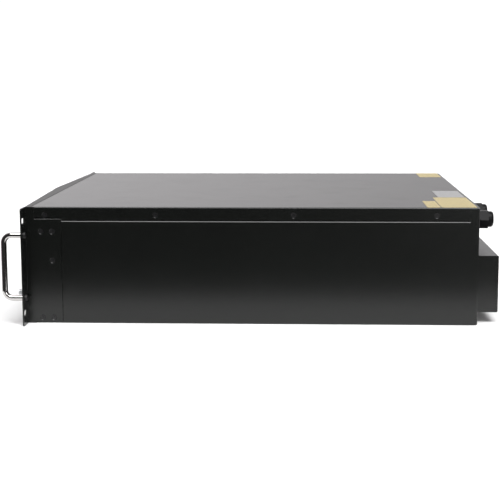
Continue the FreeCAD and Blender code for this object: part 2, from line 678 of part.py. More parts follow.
def front_subpanel():
    top = TRAY_TOP_Z - COVER_T
    low = TRAY_T + SLIP
    plate = box(0, SUBPANEL_T, -SUBPANEL_END_Y, SUBPANEL_END_Y, low, top)
    sides = both_sides(box(0, SUBPANEL_FLANGE, -SUBPANEL_END_Y, -SUBPANEL_END_Y + SUBPANEL_T,
                           low, top))
    shelf = box(0, SHEET_RETURN, -SUBPANEL_END_Y, SUBPANEL_END_Y, top - SUBPANEL_T, top)
    foot = box(0, SHEET_RETURN, -SUBPANEL_END_Y, SUBPANEL_END_Y, low, low + SUBPANEL_T)
    bosses = [rod_x(face_x(y) + FASCIA_T + PANEL_GAP, SUBPANEL_T, y, z, PAN_SHANK_R + BOSS_WALL)
              for y, z in fascia_screw_places()]
    panel = fuse([plate, shelf, foot] + sides + bosses)
    cuts = front_cutouts(CUTOUT_GAP * 2)
    cuts += [rod_x(EAR_FRONT_X - 2, SHEET_RETURN, y, z, PAN_SHANK_R + SCREW_CLEAR)
             for y, z in fascia_screw_places()]
    cuts.append(box(-1, SUBPANEL_T + 1, DISPLAY_Y - DISPLAY_W / 2, DISPLAY_Y + DISPLAY_W / 2,
                    DISPLAY_Z - DISPLAY_H / 2, DISPLAY_Z + DISPLAY_H / 2))
    cuts.append(rod_x(-1, SUBPANEL_T + 1, BUTTON_Y, BUTTON_Z, BUTTON_BEZEL_R))
    cuts += inner_side_holes()
    return merged(panel.cut(cuts))


def rear_box():
    x1 = REAR_X + BOX_DEPTH
    shell = box(REAR_X, x1, -BOX_HALF_W, BOX_HALF_W, BOX_BOTTOM_Z, BOX_TOP_Z)
    shell = shell.makeFillet(BOX_EDGE_R, [e for e in shell.Edges if e.BoundBox.XMin > x1 - 1])
    hollow = box(REAR_X - 1, x1 - BOX_T, -BOX_HALF_W + BOX_T, BOX_HALF_W - BOX_T,
                 BOX_BOTTOM_Z + BOX_T, BOX_TOP_Z - BOX_T)
    flanges = [box(REAR_X, REAR_X + BOX_T, -BOX_HALF_W, BOX_HALF_W, z, z + BOX_FLANGE)
               for z in (BOX_BOTTOM_Z - BOX_FLANGE, BOX_TOP_Z)]
    cuts = [hollow]
    first = -(VENT_COUNT - 1) * VENT_PITCH / 2
    middle = (BOX_BOTTOM_Z + BOX_TOP_Z) / 2
    for i in range(VENT_COUNT):
        y = first + i * VENT_PITCH
        cuts.append(box(x1 - BOX_T - 1, x1 + 1, y - VENT_W / 2, y + VENT_W / 2,
                        middle - VENT_H / 2, middle + VENT_H / 2))
    cuts += [rod_x(REAR_X - 1, REAR_X + 2 * BOX_T, y, z, PAN_SHANK_R + SCREW_CLEAR)
             for y, z in rear_box_screw_places()]
    return merged(fuse([shell] + flanges).cut(cuts))


def all_countersunk():
    screw = countersunk_screw()
    placed = []
    for x, z in side_screw_places():
        right = turned(screw, 90, x, -HALF_W + CSK_SINK, z)
        placed += both_sides(right)
    return placed


def all_pan_heads():
    screw = pan_head_screw()
    placed = [turned(screw, 0, face_x(y) - SLIP, y, z) for y, z in fascia_screw_places()]
    placed += [turned(screw, 180, EAR_FRONT_X + EAR_T, y, z) for y, z in handle_leg_places()]
    placed += [turned(screw, 180, REAR_X + BOX_T, y, z) for y, z in rear_box_screw_places()]
    placed += [turned(screw, 180, REAR_X, y, z) for y, z in sink_screw_places()]
    return placed


# ---------------------------------------------------------------- cells and busbars
def cell_places():
    """Middle of each cell in wiring order: front row to the left, rear row back again."""
    columns = [(i - (CELLS_IN_ROW - 1) / 2) * CELL_PITCH for i in range(CELLS_IN_ROW)]
    return [(ROW_X[0], y) for y in columns] + [(ROW_X[1], y) for y in reversed(columns)]


def cell(x, y):
    body = box(x - CELL_W / 2, x + CELL_W / 2, y - CELL_T / 2, y + CELL_T / 2,
               CELL_BOTTOM_Z, CELL_TOP_Z)
    body = round_edges(body, CELL_EDGE_R, ALONG_Z, lambda p: True)
    posts = [Part.makeCylinder(POST_R, POST_H, Vector(x + s * POST_OFFSET, y, CELL_TOP_Z))
             for s in (-1, 1)]
    vent = Part.makeCylinder(CELL_VENT_R, POST_H / 3, Vector(x, y, CELL_TOP_Z))
    return fuse([body, vent] + posts)


def cell_spacers():
    half = CELL_W / 2 - CELL_EDGE_R
    rows = sorted({place[1] for place in cell_places()})[:-1]
    return [box(x - half, x + half, y + CELL_T / 2, y + CELL_T / 2 + CELL_SPACER_T,
                CELL_BOTTOM_Z, CELL_TOP_Z - CELL_EDGE_R)
            for x in ROW_X for y in rows]


def end_plates():
    x0, x1 = STACK_FRONT_X + CELL_EDGE_R, CELL_REAR_X - CELL_EDGE_R
    plate_y = STACK_HALF + END_PLATE_T
    plate = box(x0, x1, STACK_HALF, plate_y, CELL_BOTTOM_Z, CELL_TOP_Z - CELL_EDGE_R)
    ribs = [box(x0, x1, plate_y - 1, plate_y + END_RIB_T, z, z + END_RIB_W) for z in END_RIB_Z]
    return both_sides(fuse([plate] + ribs))


def busbar(x0, y0, x1, y1):
    half = BUSBAR_W / 2
    bar = box(min(x0, x1) - half, max(x0, x1) + half, min(y0, y1) - half, max(y0, y1) + half,
              BUSBAR_Z, BUSBAR_Z + BUSBAR_T)
    return round_edges(bar, BUSBAR_EDGE_R, ALONG_Z, lambda p: True)


def cell_busbars():
    """Series links; the side they sit on alternates from cell to cell."""
    places = cell_places()
    bars = []
    for i in range(len(places) - 1):
        if i == CELLS_IN_ROW - 1:
            side, other = 1, -1
        else:
            side = other = (-1 if i % 2 == 0 else 1) * (1 if i < CELLS_IN_ROW else -1)
        x0, y0 = places[i]
        x1, y1 = places[i + 1]
        bars.append(busbar(x0 + side * POST_OFFSET, y0, x1 + other * POST_OFFSET, y1))
    return bars


def main_busbars():
    """Flat bars from the two free posts, out over the end plate and along the right wall."""
    first, last = cell_places()[0], cell_places()[-1]
    run_y = -(STACK_HALF + END_PLATE_T + END_RIB_T) + MAIN_RUN_W / 2
    front_x = SUBPANEL_T + BREAKER_DEPTH + MAIN_RUN_W
    rear_x = CELL_REAR_X
    half = BUSBAR_W / 2
    z0, z1 = BUSBAR_Z, BUSBAR_Z + BUSBAR_T
    bars = []
    for post_x, end_x in ((first[0] + POST_OFFSET, front_x), (last[0] - POST_OFFSET, rear_x)):
        tab = box(post_x - half, post_x + half, run_y, first[1] + half, z0, z1)
        run = box(min(post_x - half, end_x), max(post_x + half, end_x),
                  run_y - MAIN_RUN_W / 2, run_y + MAIN_RUN_W / 2, z0, z1)
        bars.append(fuse([tab, run]))
    return bars


def top_insulation():
    z0 = BUSBAR_Z + BUSBAR_T
    return box(STACK_FRONT_X, CELL_REAR_X, -STACK_HALF, STACK_HALF, z0, z0 + INSULATION_T)


# ---------------------------------------------------------------- management electronics
def bms_board():
    """The board upright behind the cells, its power transistors flat on the heat sink."""
    x0 = CELL_REAR_X + BMS_CELL_GAP
    board = box(x0, x0 + BMS_T, -BMS_LENGTH / 2, BMS_LENGTH / 2, BMS_Z, BMS_Z + BMS_HEIGHT)
    first = -(MOSFET_COUNT - 1) * MOSFET_PITCH / 2
    parts = [board]
    for i in range(MOSFET_COUNT):
        y = first + i * MOSFET_PITCH
        parts.append(box(x0 + BMS_T / 2, SINK_BASE_X, y - MOSFET_W / 2, y + MOSFET_W / 2,
                         SINK_Z + MOSFET_RISE, SINK_Z + MOSFET_RISE + MOSFET_H))
    return fuse(parts)


def bms_heatsink():
    """Finned block; the fins pass through the rear wall's window into the rear box."""
    fin_x = SINK_BASE_X + SINK_BASE_T
    tip_x = REAR_X + BOX_DEPTH - BOX_T - FIN_TIP_GAP
    half = SINK_LENGTH / 2
    foot = WINDOW_HALF_W + SINK_FOOT_W
    top = SINK_Z + SINK_HEIGHT
    parts = [box(SINK_BASE_X, fin_x, -foot, foot, SINK_Z, top)]
    parts += both_sides(box(SINK_BASE_X, REAR_X - TRAY_T, -foot, -WINDOW_HALF_W - 1, SINK_Z, top))
    count = int(SINK_LENGTH / FIN_PITCH)
    first = -(count - 1) * FIN_PITCH / 2
    for i in range(count):
        y = first + i * FIN_PITCH
        parts.append(box(fin_x - 1, tip_x, y - FIN_T / 2, y + FIN_T / 2, SINK_Z, top))
    holes = [rod_x(SINK_BASE_X - 1, REAR_X, y, z, PAN_SHANK_R + SCREW_CLEAR)
             for y, z in sink_screw_places()]
    return fuse(parts).cut(holes)


# ---------------------------------------------------------------- front components
def breaker_nose_x():
    return face_x(BREAKER_Y + BREAKER_W / 2) - BREAKER_PROUD


def lever_pivot_x():
    return breaker_nose_x() + LEVER_PIVOT_DEPTH


def breaker_body():
    nose_x = breaker_nose_x()
    half = BREAKER_W / 2
    nose = box(nose_x, SUBPANEL_T + 6, BREAKER_Y - half, BREAKER_Y + half,
               BREAKER_Z - BREAKER_NOSE_H / 2, BREAKER_Z + BREAKER_NOSE_H / 2)
    nose = round_edges(nose, BREAKER_EDGE_R, ALONG_Y, lambda p: p.x < nose_x + 0.1)
    case = box(SUBPANEL_T + 1, SUBPANEL_T + BREAKER_DEPTH, BREAKER_Y - half, BREAKER_Y + half,
               BREAKER_Z - BREAKER_H / 2, BREAKER_Z + BREAKER_H / 2)
    pivot = lever_pivot_x()
    width = LEVER_W / 2 + RUNNING_CLEAR
    pocket = Part.makeCylinder(LEVER_HUB_R + RUNNING_CLEAR + 0.2, 2 * width,
                               Vector(pivot, BREAKER_Y - width, BREAKER_Z), ALONG_Y)
    mouth = box(nose_x - 1, pivot, BREAKER_Y - width, BREAKER_Y + width,
                BREAKER_Z - LEVER_MOUTH_H / 2, BREAKER_Z + LEVER_MOUTH_H / 2)
    split = box(nose_x - 1, nose_x + POLE_SPLIT,
                BREAKER_Y - POLE_SPLIT / 2, BREAKER_Y + POLE_SPLIT / 2,
                BREAKER_Z - BREAKER_NOSE_H / 2 - 1, BREAKER_Z + BREAKER_NOSE_H / 2 + 1)
    return merged(fuse([nose, case]).cut([pocket, mouth, split]))


def breaker_lever():
    """The lever at rest, switched off, pointing down and out."""
    pivot = Vector(lever_pivot_x(), BREAKER_Y, BREAKER_Z)
    hub = Part.makeCylinder(LEVER_HUB_R, LEVER_W, Vector(0, -LEVER_W / 2, 0), ALONG_Y)
    paddle = box(-LEVER_REACH, 0, -LEVER_W / 2, LEVER_W / 2, -LEVER_T / 2, LEVER_T / 2)
    paddle = round_edges(paddle, LEVER_TIP_R, ALONG_Y, lambda p: p.x < -LEVER_REACH + 0.1)
    lever = fuse([hub, paddle])
    lever.rotate(Vector(0, 0, 0), ALONG_Y, -LEVER_REST_DEG)
    lever.translate(pivot)
    return lever


def terminal_block(y):
    """A moulded block with a round well for the stud and a slot below for its lug."""
    half = TERMINAL_SIZE / 2
    front = face_x(y) - TERMINAL_PROUD
    back = SUBPANEL_T + TERMINAL_BACK
    floor_x = front + TERMINAL_WELL_DEPTH
    collar = half + COLLAR_W
    block = box(front, back, y - half, y + half, TERMINAL_Z - half, TERMINAL_Z + half)
    block = round_edges(block, TERMINAL_EDGE_R, ALONG_X, lambda p: True)
    stop = box(SUBPANEL_T + SLIP, SUBPANEL_T + SLIP + COLLAR_T, y - collar, y + collar,
               TERMINAL_Z - collar, TERMINAL_Z + collar)
    well = rod_x(front - 1, floor_x, y, TERMINAL_Z, TERMINAL_WELL_R)
    slot = box(front - 1, floor_x, y - LUG_SLOT_W / 2, y + LUG_SLOT_W / 2,
               TERMINAL_Z - half - 1, TERMINAL_Z)
    hole = rod_x(front, back + 1, y, TERMINAL_Z, STUD_R + SCREW_CLEAR)
    return fuse([block, stop]).cut([well, slot, hole])


def terminal_stud(y):
    """A threaded brass stud with a hexagonal shoulder on the floor of the well."""
    floor_x = face_x(y) - TERMINAL_PROUD + TERMINAL_WELL_DEPTH
    back = SUBPANEL_T + TERMINAL_BACK
    stud = rod_x(floor_x - STUD_LENGTH, back + STUD_TAIL, y, TERMINAL_Z, STUD_R)
    shoulder = hexagon_x(floor_x - STUD_SHOULDER_H, floor_x, y, TERMINAL_Z, STUD_AF)
    nut = hexagon_x(back, back + STUD_NUT_H, y, TERMINAL_Z, STUD_AF)
    return fuse([stud, shoulder, nut])


def ground_stud():
    """A steel stud clamped through the fascia and the subpanel by two nuts."""
    face = face_x(GROUND_Y) - PANEL_GAP
    back = SUBPANEL_T + SLIP
    stud = rod_x(face - GROUND_STUD_L, back + GROUND_TAIL, GROUND_Y, GROUND_Z, GROUND_STUD_R)
    front_nut = hexagon_x(face - GROUND_NUT_H, face, GROUND_Y, GROUND_Z, GROUND_AF)
    back_nut = hexagon_x(back, back + GROUND_NUT_H, GROUND_Y, GROUND_Z, GROUND_AF)
    return fuse([stud, front_nut, back_nut])


def control_board():
    """The board behind the front panel, with the display's module standing on it."""
    right = port_y(PORT_COUNT - 1) - PORT_W / 2 - BOARD_MARGIN
    left = DISPLAY_Y + DISPLAY_W / 2 + BOARD_MARGIN
    board = box(BOARD_X, BOARD_X + BOARD_T, right, left, BOARD_BOTTOM_Z, BOARD_TOP_Z)
    half_w = DISPLAY_W / 2 - 2 * DISPLAY_BORDER + SLIP
    half_h = DISPLAY_H / 2 - 2 * DISPLAY_BORDER + SLIP
    module = box(FASCIA_REAR_X - FASCIA_REAR_GAP, BOARD_X + BOARD_T / 2,
                 DISPLAY_Y - half_w, DISPLAY_Y + half_w,
                 DISPLAY_Z - half_h, DISPLAY_Z + half_h)
    return fuse([board, module])


def comm_ports():
    """Shielded sockets side by side, each open at the front, with the latch slot below."""
    ports = []
    floor_z = PORT_Z - SOCKET_DROP
    for i in range(PORT_COUNT):
        y = port_y(i)
        front = face_x(y) - PORT_PROUD
        shell = box(front, BOARD_X, y - PORT_W / 2, y + PORT_W / 2,
                    PORT_Z - PORT_H / 2, PORT_Z + PORT_H / 2)
        socket = box(front - 1, front + SOCKET_DEPTH, y - SOCKET_W / 2, y + SOCKET_W / 2,
                     floor_z, floor_z + SOCKET_H)
        latch = box(front - 1, front + SOCKET_DEPTH, y - LATCH_W / 2, y + LATCH_W / 2,
                    floor_z - LATCH_H, floor_z + 1)
        ports.append(shell.cut([socket, latch]))
    return ports


def display_window():
    pane = box(-DISPLAY_PROUD, DISPLAY_T - DISPLAY_PROUD, -DISPLAY_W / 2, DISPLAY_W / 2,
               -DISPLAY_H / 2, DISPLAY_H / 2)
    pane = round_edges(pane, DISPLAY_EDGE_R, ALONG_Y, lambda p: p.x < 0)
    return on_face(pane, DISPLAY_Y, DISPLAY_Z)


def round_front(shape, x, radius):
    """The shape with the circular edges in the plane at x rounded."""
    rim = [e for e in shape.Edges if abs(e.CenterOfMass.x - x) < 1e-6]
    return shape.makeFillet(radius, rim)


def status_leds():
    lights = []
    for i in range(LED_COUNT):
        y = led_y(i)
        tip = face_x(y) - LED_PROUD
        lights.append(round_front(rod_x(tip, BOARD_X, y, LED_Z, LED_R), tip, LED_PROUD))
    return lights


def power_switch():
    """Bezel ring in the fascia with the switch's barrel behind it, open for the button."""
    ring = round_front(rod_x(-BEZEL_T, 0, 0, 0, BUTTON_BEZEL_R), -BEZEL_T, BEZEL_T / 2)
    barrel = rod_x(-BEZEL_T / 4, BARREL_L, 0, 0, BUTTON_BARREL_R)
    bore = rod_x(-BEZEL_T - 1, BARREL_L - BARREL_FLOOR_T, 0, 0, BUTTON_R + RUNNING_CLEAR)
    return on_face(fuse([ring, barrel]).cut(bore), BUTTON_Y, BUTTON_Z)


def power_button():
    """The button's cap, dished for a fingertip."""
    cap = round_front(rod_x(-BUTTON_PROUD, BUTTON_L, 0, 0, BUTTON_R), -BUTTON_PROUD,
                      BUTTON_EDGE_R)
    centre_x = -BUTTON_PROUD - DISH_R + DISH_DEPTH
    dish = Part.makeSphere(DISH_R, Vector(centre_x, 0, 0))
    return on_face(cap.cut(dish), BUTTON_Y, BUTTON_Z)


def reset_button():
    """A pin button, just below the fascia's face."""
    tip = face_x(RESET_Y) + RESET_SINK
    return rod_x(tip, BOARD_X - RESET_GAP, RESET_Y, RESET_Z, RESET_R)


def dip_front_x():
    return face_x(DIP_Y - DIP_W / 2) + DIP_SINK


def dip_slider_y(index):
    return DIP_Y + (index - (DIP_COUNT - 1) / 2) * DIP_PITCH


def dip_switch():
    """The case of the small slide switches, with a pocket for each slider."""
    front = dip_front_x()
    case = box(front, BOARD_X, DIP_Y - DIP_W / 2, DIP_Y + DIP_W / 2,
               DIP_Z - DIP_H / 2, DIP_Z + DIP_H / 2)
    half_w = DIP_SLIDER_W / 2 + RUNNING_CLEAR
    half_h = (DIP_SLIDER_H + DIP_TRAVEL) / 2 + RUNNING_CLEAR
    pockets = [box(front - 1, front + DIP_SLOT_DEPTH, dip_slider_y(i) - half_w,
                   dip_slider_y(i) + half_w, DIP_Z - half_h, DIP_Z + half_h)
               for i in range(DIP_COUNT)]
    return case.cut(pockets)


def dip_slider(index):
    """A slider in its lower position."""
    front = dip_front_x()
    low = DIP_Z - (DIP_SLIDER_H + DIP_TRAVEL) / 2
    y = dip_slider_y(index)
    return box(front - DIP_SLIDER_PROUD, front + DIP_SLOT_DEPTH - RUNNING_CLEAR,
               y - DIP_SLIDER_W / 2, y + DIP_SLIDER_W / 2, low, low + DIP_SLIDER_H)


# ---------------------------------------------------------------- cable glands
def turned_corners(x0, x1, y):
    """A cone that takes the corners off a gland's hexagon at its x1 end."""
    wide = GLAND_CORNER_R + GLAND_CORNER_SLOPE * abs(x1 - x0) + 1
    if x0 < x1:
        return cone_x(x0 - 1, x1 + 0.01, y, GLAND_Z, wide, GLAND_CORNER_R)
    return cone_x(x1 - 0.01, x0 + 1, y, GLAND_Z, GLAND_CORNER_R, wide)


def gland_body(y):
    flange_end = REAR_X + GLAND_FLANGE_H
    flange = hexagon_x(REAR_X, flange_end, y, GLAND_Z, GLAND_AF)
    flange = flange.common(turned_corners(REAR_X, flange_end, y))
    spigot = rod_x(flange_end - 0.1, flange_end + GLAND_SPIGOT_L, y, GLAND_Z, GLAND_SPIGOT_R)
    tail = rod_x(REAR_X - GLAND_TAIL_L, REAR_X + 0.1, y, GLAND_Z, GLAND_THREAD_R)
    bore = rod_x(REAR_X - GLAND_TAIL_L - 1, flange_end + GLAND_SPIGOT_L + 1, y, GLAND_Z,
                 GLAND_BORE_R)
    return fuse([flange, spigot, tail]).cut(bore)


def gland_locknut(y):
    inside = REAR_X - TRAY_T
    nut = hexagon_x(inside - LOCKNUT_H, inside, y, GLAND_Z, GLAND_AF)
    return nut.cut(rod_x(inside - LOCKNUT_H - 1, inside + 1, y, GLAND_Z, GLAND_THREAD_R + SCREW_CLEAR))


def cap_start_x(loose):
    return REAR_X + GLAND_FLANGE_H + GLAND_CAP_GAP + loose


def gland_cap(y, loose):
    """A hexagonal cap nut with a domed nose, hollow behind for the spigot and the seal."""
    start = cap_start_x(loose)
    grip_end = start + GLAND_CAP_HEX_L
    end = start + GLAND_CAP_L
    grip = hexagon_x(start, grip_end, y, GLAND_Z, GLAND_AF)
    grip = grip.common(turned_corners(grip_end, start, y))
    dome = rod_x(grip_end - 0.1, end, y, GLAND_Z, GLAND_AF / 2 - GLAND_DOME_INSET)
    rim = [e for e in dome.Edges if abs(e.CenterOfMass.x - end) < 1e-6]
    dome = dome.makeFillet(GLAND_DOME_R, rim)
    hollow = rod_x(start - 1, end - GLAND_NOSE_T, y, GLAND_Z, GLAND_SPIGOT_R + RUNNING_CLEAR)
    bore = rod_x(start, end + 1, y, GLAND_Z, GLAND_BORE_R + GLAND_NOSE_CLEAR)
    return fuse([grip, dome]).cut([hollow, bore])


def gland_seal(y, loose):
    """The rubber ring that the cap presses against the spigot."""
    end = cap_start_x(loose) + GLAND_CAP_L - GLAND_NOSE_T - RUNNING_CLEAR
    ring = rod_x(end - GLAND_SEAL_L, end, y, GLAND_Z, GLAND_SPIGOT_R - GLAND_SEAL_CLEAR)
    return ring.cut(rod_x(end - GLAND_SEAL_L - 1, end + 1, y, GLAND_Z, GLAND_BORE_R))


# ---------------------------------------------------------------- labels
def label(from_rear, from_right, length, width):
    x0 = REAR_X - LABEL_MARGIN - from_rear
    y0 = -HALF_W + LABEL_MARGIN + from_right
    sheet = box(x0, x0 + length, y0, y0 + width, BODY_HEIGHT, BODY_HEIGHT + LABEL_T)
    return round_edges(sheet, LABEL_CORNER_R, ALONG_Z, lambda p: True)


def main():
    os.makedirs("parts", exist_ok=True)
    save("chassis_tray", chassis_tray())
    save("top_cover", top_cover())
    save("front_fascia", front_fascia())
    save("front_subpanel", front_subpanel())
    save("ear_bracket_right", ear_bracket())
    save("ear_bracket_left", mirrored(ear_bracket()))
    save("handle_right", handle())
    save("handle_left", mirrored(handle()))
    save("rear_box", rear_box())
    save_group("countersunk_screws", all_countersunk())
    save_group("pan_head_screws", all_pan_heads())
    for number, (x, y) in enumerate(cell_places(), start=1):
        save(f"cell_{number:02d}", cell(x, y))
    save_group("cell_spacers", cell_spacers())
    save_group("end_plates", end_plates())
    save_group("cell_busbars", cell_busbars())
    save_group("main_busbars", main_busbars())
    save("top_insulation", top_insulation())
    save("bms_board", bms_board())
    save("bms_heatsink", bms_heatsink())
    save("breaker_body", breaker_body())
    save("breaker_lever", breaker_lever())
    save("terminal_block_positive", terminal_block(TERMINAL_Y[0]))
    save("terminal_block_negative", terminal_block(TERMINAL_Y[1]))
    save_group("terminal_studs", [terminal_stud(y) for y in TERMINAL_Y])
    save("ground_stud", ground_stud())
    save("control_board", control_board())
    save_group("comm_ports", comm_ports())
    save("display_window", display_window())
    save_group("status_leds", status_leds())
    save("power_switch", power_switch())
    save("power_button", power_button())
    save("reset_button", reset_button())
    save("dip_switch", dip_switch())
    for index in range(DIP_COUNT):
        save(f"dip_slider_{index + 1}", dip_slider(index))
    save_group("gland_bodies", [gland_body(y) for y in gland_places()])
    save_group("gland_locknuts", [gland_locknut(y) for y in gland_places()])
    looseness = (0.0, GLAND_LOOSE)
    for side, y, loose in zip(("right", "left"), gland_places(), looseness):
        save(f"gland_cap_{side}", gland_cap(y, loose))
        save(f"gland_seal_{side}", gland_seal(y, loose))
    save_group("warning_labels", [label(*place) for place in WARNING_LABELS])
    save("rating_label", label(*RATING_LABEL))


main()
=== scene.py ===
"""Looks of the server rack battery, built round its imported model, in metres.

+X runs from the front panel to the rear, +Y to the left as seen from the front, +Z up.
"""
import json
import math

import bmesh
import bpy
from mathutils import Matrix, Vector


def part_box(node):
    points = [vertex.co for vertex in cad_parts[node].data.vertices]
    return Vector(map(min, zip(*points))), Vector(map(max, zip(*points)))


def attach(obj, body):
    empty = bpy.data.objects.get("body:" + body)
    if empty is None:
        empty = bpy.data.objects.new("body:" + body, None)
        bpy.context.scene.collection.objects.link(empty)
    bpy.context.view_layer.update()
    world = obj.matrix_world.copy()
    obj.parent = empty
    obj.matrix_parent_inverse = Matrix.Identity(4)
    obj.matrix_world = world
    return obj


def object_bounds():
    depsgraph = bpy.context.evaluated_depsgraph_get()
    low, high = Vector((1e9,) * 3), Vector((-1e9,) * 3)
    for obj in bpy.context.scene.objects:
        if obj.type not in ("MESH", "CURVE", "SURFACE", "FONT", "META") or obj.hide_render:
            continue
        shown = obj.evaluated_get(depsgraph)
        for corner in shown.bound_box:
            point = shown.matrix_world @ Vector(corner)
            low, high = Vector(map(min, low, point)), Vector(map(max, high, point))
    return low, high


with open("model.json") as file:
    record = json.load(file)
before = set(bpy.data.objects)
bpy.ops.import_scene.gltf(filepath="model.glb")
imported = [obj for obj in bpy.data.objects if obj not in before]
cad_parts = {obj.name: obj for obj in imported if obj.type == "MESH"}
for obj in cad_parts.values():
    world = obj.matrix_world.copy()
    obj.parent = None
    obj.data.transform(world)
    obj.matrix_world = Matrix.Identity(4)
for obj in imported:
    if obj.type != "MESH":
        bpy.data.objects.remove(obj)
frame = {"nodes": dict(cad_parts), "record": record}
cad_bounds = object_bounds()

MM = 0.001
INK_LIFT = 0.04 * MM         # printed marks stand this far off the surface they are on
LABEL_ROW = 3.4 * MM         # from one ruled row of a label to the next
PORT_COUNT = 4
PORT_PITCH = 16.2 * MM


# ---------------------------------------------------------------- node trees
class Term:
    """A socket; arithmetic on it adds Math nodes to the tree that it belongs to."""

    def __init__(self, tree, socket):
        self.tree = tree
        self.socket = socket

    def math(self, operation, *others):
        return self.tree.math(operation, self, *others)

    def __add__(self, other):
        return self.math("ADD", other)

    __radd__ = __add__

    def __sub__(self, other):
        return self.math("SUBTRACT", other)

    def __rsub__(self, other):
        return self.tree.math("SUBTRACT", other, self)

    def __mul__(self, other):
        return self.math("MULTIPLY", other)

    __rmul__ = __mul__

    def __truediv__(self, other):
        return self.math("DIVIDE", other)


class Tree:
    """A node tree that is filled by calls."""

    def __init__(self, tree):
        self.tree = tree
        tree.nodes.clear()

    def node(self, kind, settings=None, inputs=None, output=0):
        """Adds a node: its settings first, then the values or links of its sockets."""
        made = self.tree.nodes.new(kind)
        for name, value in (settings or {}).items():
            setattr(made, name, value)
        for key, value in (inputs or {}).items():
            if isinstance(value, Term):
                self.tree.links.new(value.socket, made.inputs[key])
            else:
                made.inputs[key].default_value = value
        return Term(self, made.outputs[output]) if made.outputs else made

    def math(self, operation, *terms):
        return self.node("ShaderNodeMath", {"operation": operation}, dict(enumerate(terms)))

    def vector(self, x, y, z):
        return self.node("ShaderNodeCombineXYZ", None, {0: x, 1: y, 2: z})

    def blend(self, factor, first, second):
        """A colour between two, by a factor from 0 to 1."""
        inputs = {0: factor, 6: first, 7: second}
        return self.node("ShaderNodeMix", {"data_type": "RGBA"}, inputs, output=2)

    def step(self, value, low, high):
        """0 below low, 1 above high, smooth between."""
        return self.node("ShaderNodeMapRange", {"interpolation_type": "SMOOTHSTEP"},
                         {"Value": value, "From Min": low, "From Max": high})


class Finish(Tree):
    """A procedural material on object coordinates."""

    def __init__(self, name):
        self.material = bpy.data.materials.new(name)
        self.material.use_nodes = True
        super().__init__(self.material.node_tree)
        self.place = self.node("ShaderNodeTexCoord", output="Object")

    def stretched(self, x, y, z):
        return self.node("ShaderNodeMapping", None, {"Vector": self.place, "Scale": (x, y, z)})

    def noise(self, size, detail=2.0, place=None):
        """Cloudy noise from 0 to 1 with patches about this size across, in metres."""
        return self.node("ShaderNodeTexNoise", None, {
            "Vector": place or self.place, "Scale": 1 / size, "Detail": detail})

    def grains(self, size):
        """Distance to the nearest grain of a random packing, from 0 to about 1."""
        return self.node("ShaderNodeTexVoronoi", {"feature": "F1"}, {
            "Vector": self.place, "Scale": 1 / size})

    def edge(self, radius):
        """1 along the edges of the piece, 0 on its flat faces."""
        rounded = self.node("ShaderNodeBevel", {"samples": 4}, {"Radius": radius})
        flat = self.node("ShaderNodeNewGeometry", output="Normal")
        aligned = self.node("ShaderNodeVectorMath", {"operation": "DOT_PRODUCT"},
                            {0: rounded, 1: flat}, output="Value")
        return self.step(1 - aligned, 0.02, 0.25)

    def surface(self, colour, roughness, height=None, relief=0.0, **constants):
        """The shader and its output; relief is the bump's depth in metres."""
        inputs = {"Base Color": colour, "Roughness": roughness}
        if height is not None:
            inputs["Normal"] = self.node("ShaderNodeBump", None, {
                "Height": height, "Distance": relief, "Strength": 1.0})
        for name, value in constants.items():
            inputs[name.replace("_", " ")] = value
        shader = self.node("ShaderNodeBsdfPrincipled", None, inputs)
        self.node("ShaderNodeOutputMaterial", None, {"Surface": shader})
        return self.material


def shade(colour, factor):
    return (colour[0] * factor, colour[1] * factor, colour[2] * factor, 1.0)


# ---------------------------------------------------------------- finishes
PAINT = (0.0030, 0.0036, 0.0031)


def powder_coat(name, colour=PAINT, roughness=0.25):
    """Black powder coat: orange peel, fine grain, worn a little along the edges."""
    finish = Finish(name)
    peel = finish.noise(1.6 * MM, 1.0)
    grain = finish.noise(0.35 * MM, 1.0)
    clouds = finish.noise(90 * MM, 3.0)
    handling = finish.step(finish.noise(24 * MM, 4.0), 0.45, 0.75)
    worn = finish.edge(0.5 * MM) * finish.step(finish.noise(5 * MM, 3.0), 0.35, 0.70)
    body = finish.blend(clouds, shade(colour, 0.80), shade(colour, 1.25))
    body = finish.blend(worn * 0.30, body, shade((0.11, 0.11, 0.105), 1.0))
    rough = roughness - 0.01 + 0.015 * clouds + 0.01 * handling + 0.06 * worn
    return finish.surface(body, rough, 0.7 * peel + 0.3 * grain, 0.012 * MM)


def chrome():
    finish = Finish("chrome_plate")
    haze = finish.noise(12 * MM, 3.0)
    polish = finish.noise(0.25 * MM, 1.0, finish.stretched(1, 1, 0.12))
    body = finish.blend(haze, (0.50, 0.485, 0.475, 1), (0.58, 0.565, 0.555, 1))
    return finish.surface(body, 0.05 + 0.05 * haze, polish, 0.0008 * MM, Metallic=1.0)


def plated(name, colour, roughness, brushed=(1, 1, 1), metallic=1.0):
    """Bare or plated metal, with a fine grain that a stretch turns into brush lines."""
    finish = Finish(name)
    lines = finish.noise(0.3 * MM, 2.0, finish.stretched(*brushed))
    clouds = finish.noise(18 * MM, 3.0)
    stain = finish.step(finish.noise(45 * MM, 4.0), 0.50, 0.80)
    body = finish.blend(clouds, shade(colour, 0.86), shade(colour, 1.08))
    body = finish.blend(stain * 0.25, body, shade(colour, 0.60))
    rough = roughness - 0.06 + 0.10 * lines + 0.08 * stain
    return finish.surface(body, rough, lines, 0.003 * MM, Metallic=metallic)


def moulded(name, colour, roughness=0.42, texture=0.5 * MM, relief=0.010 * MM, **constants):
    """Moulded plastic or nylon with a fine spark-eroded texture."""
    finish = Finish(name)
    pits = finish.grains(texture)
    clouds = finish.noise(14 * MM, 3.0)
    body = finish.blend(clouds, shade(colour, 0.88), shade(colour, 1.12))
    return finish.surface(body, roughness - 0.05 + 0.10 * clouds, pits, relief, **constants)


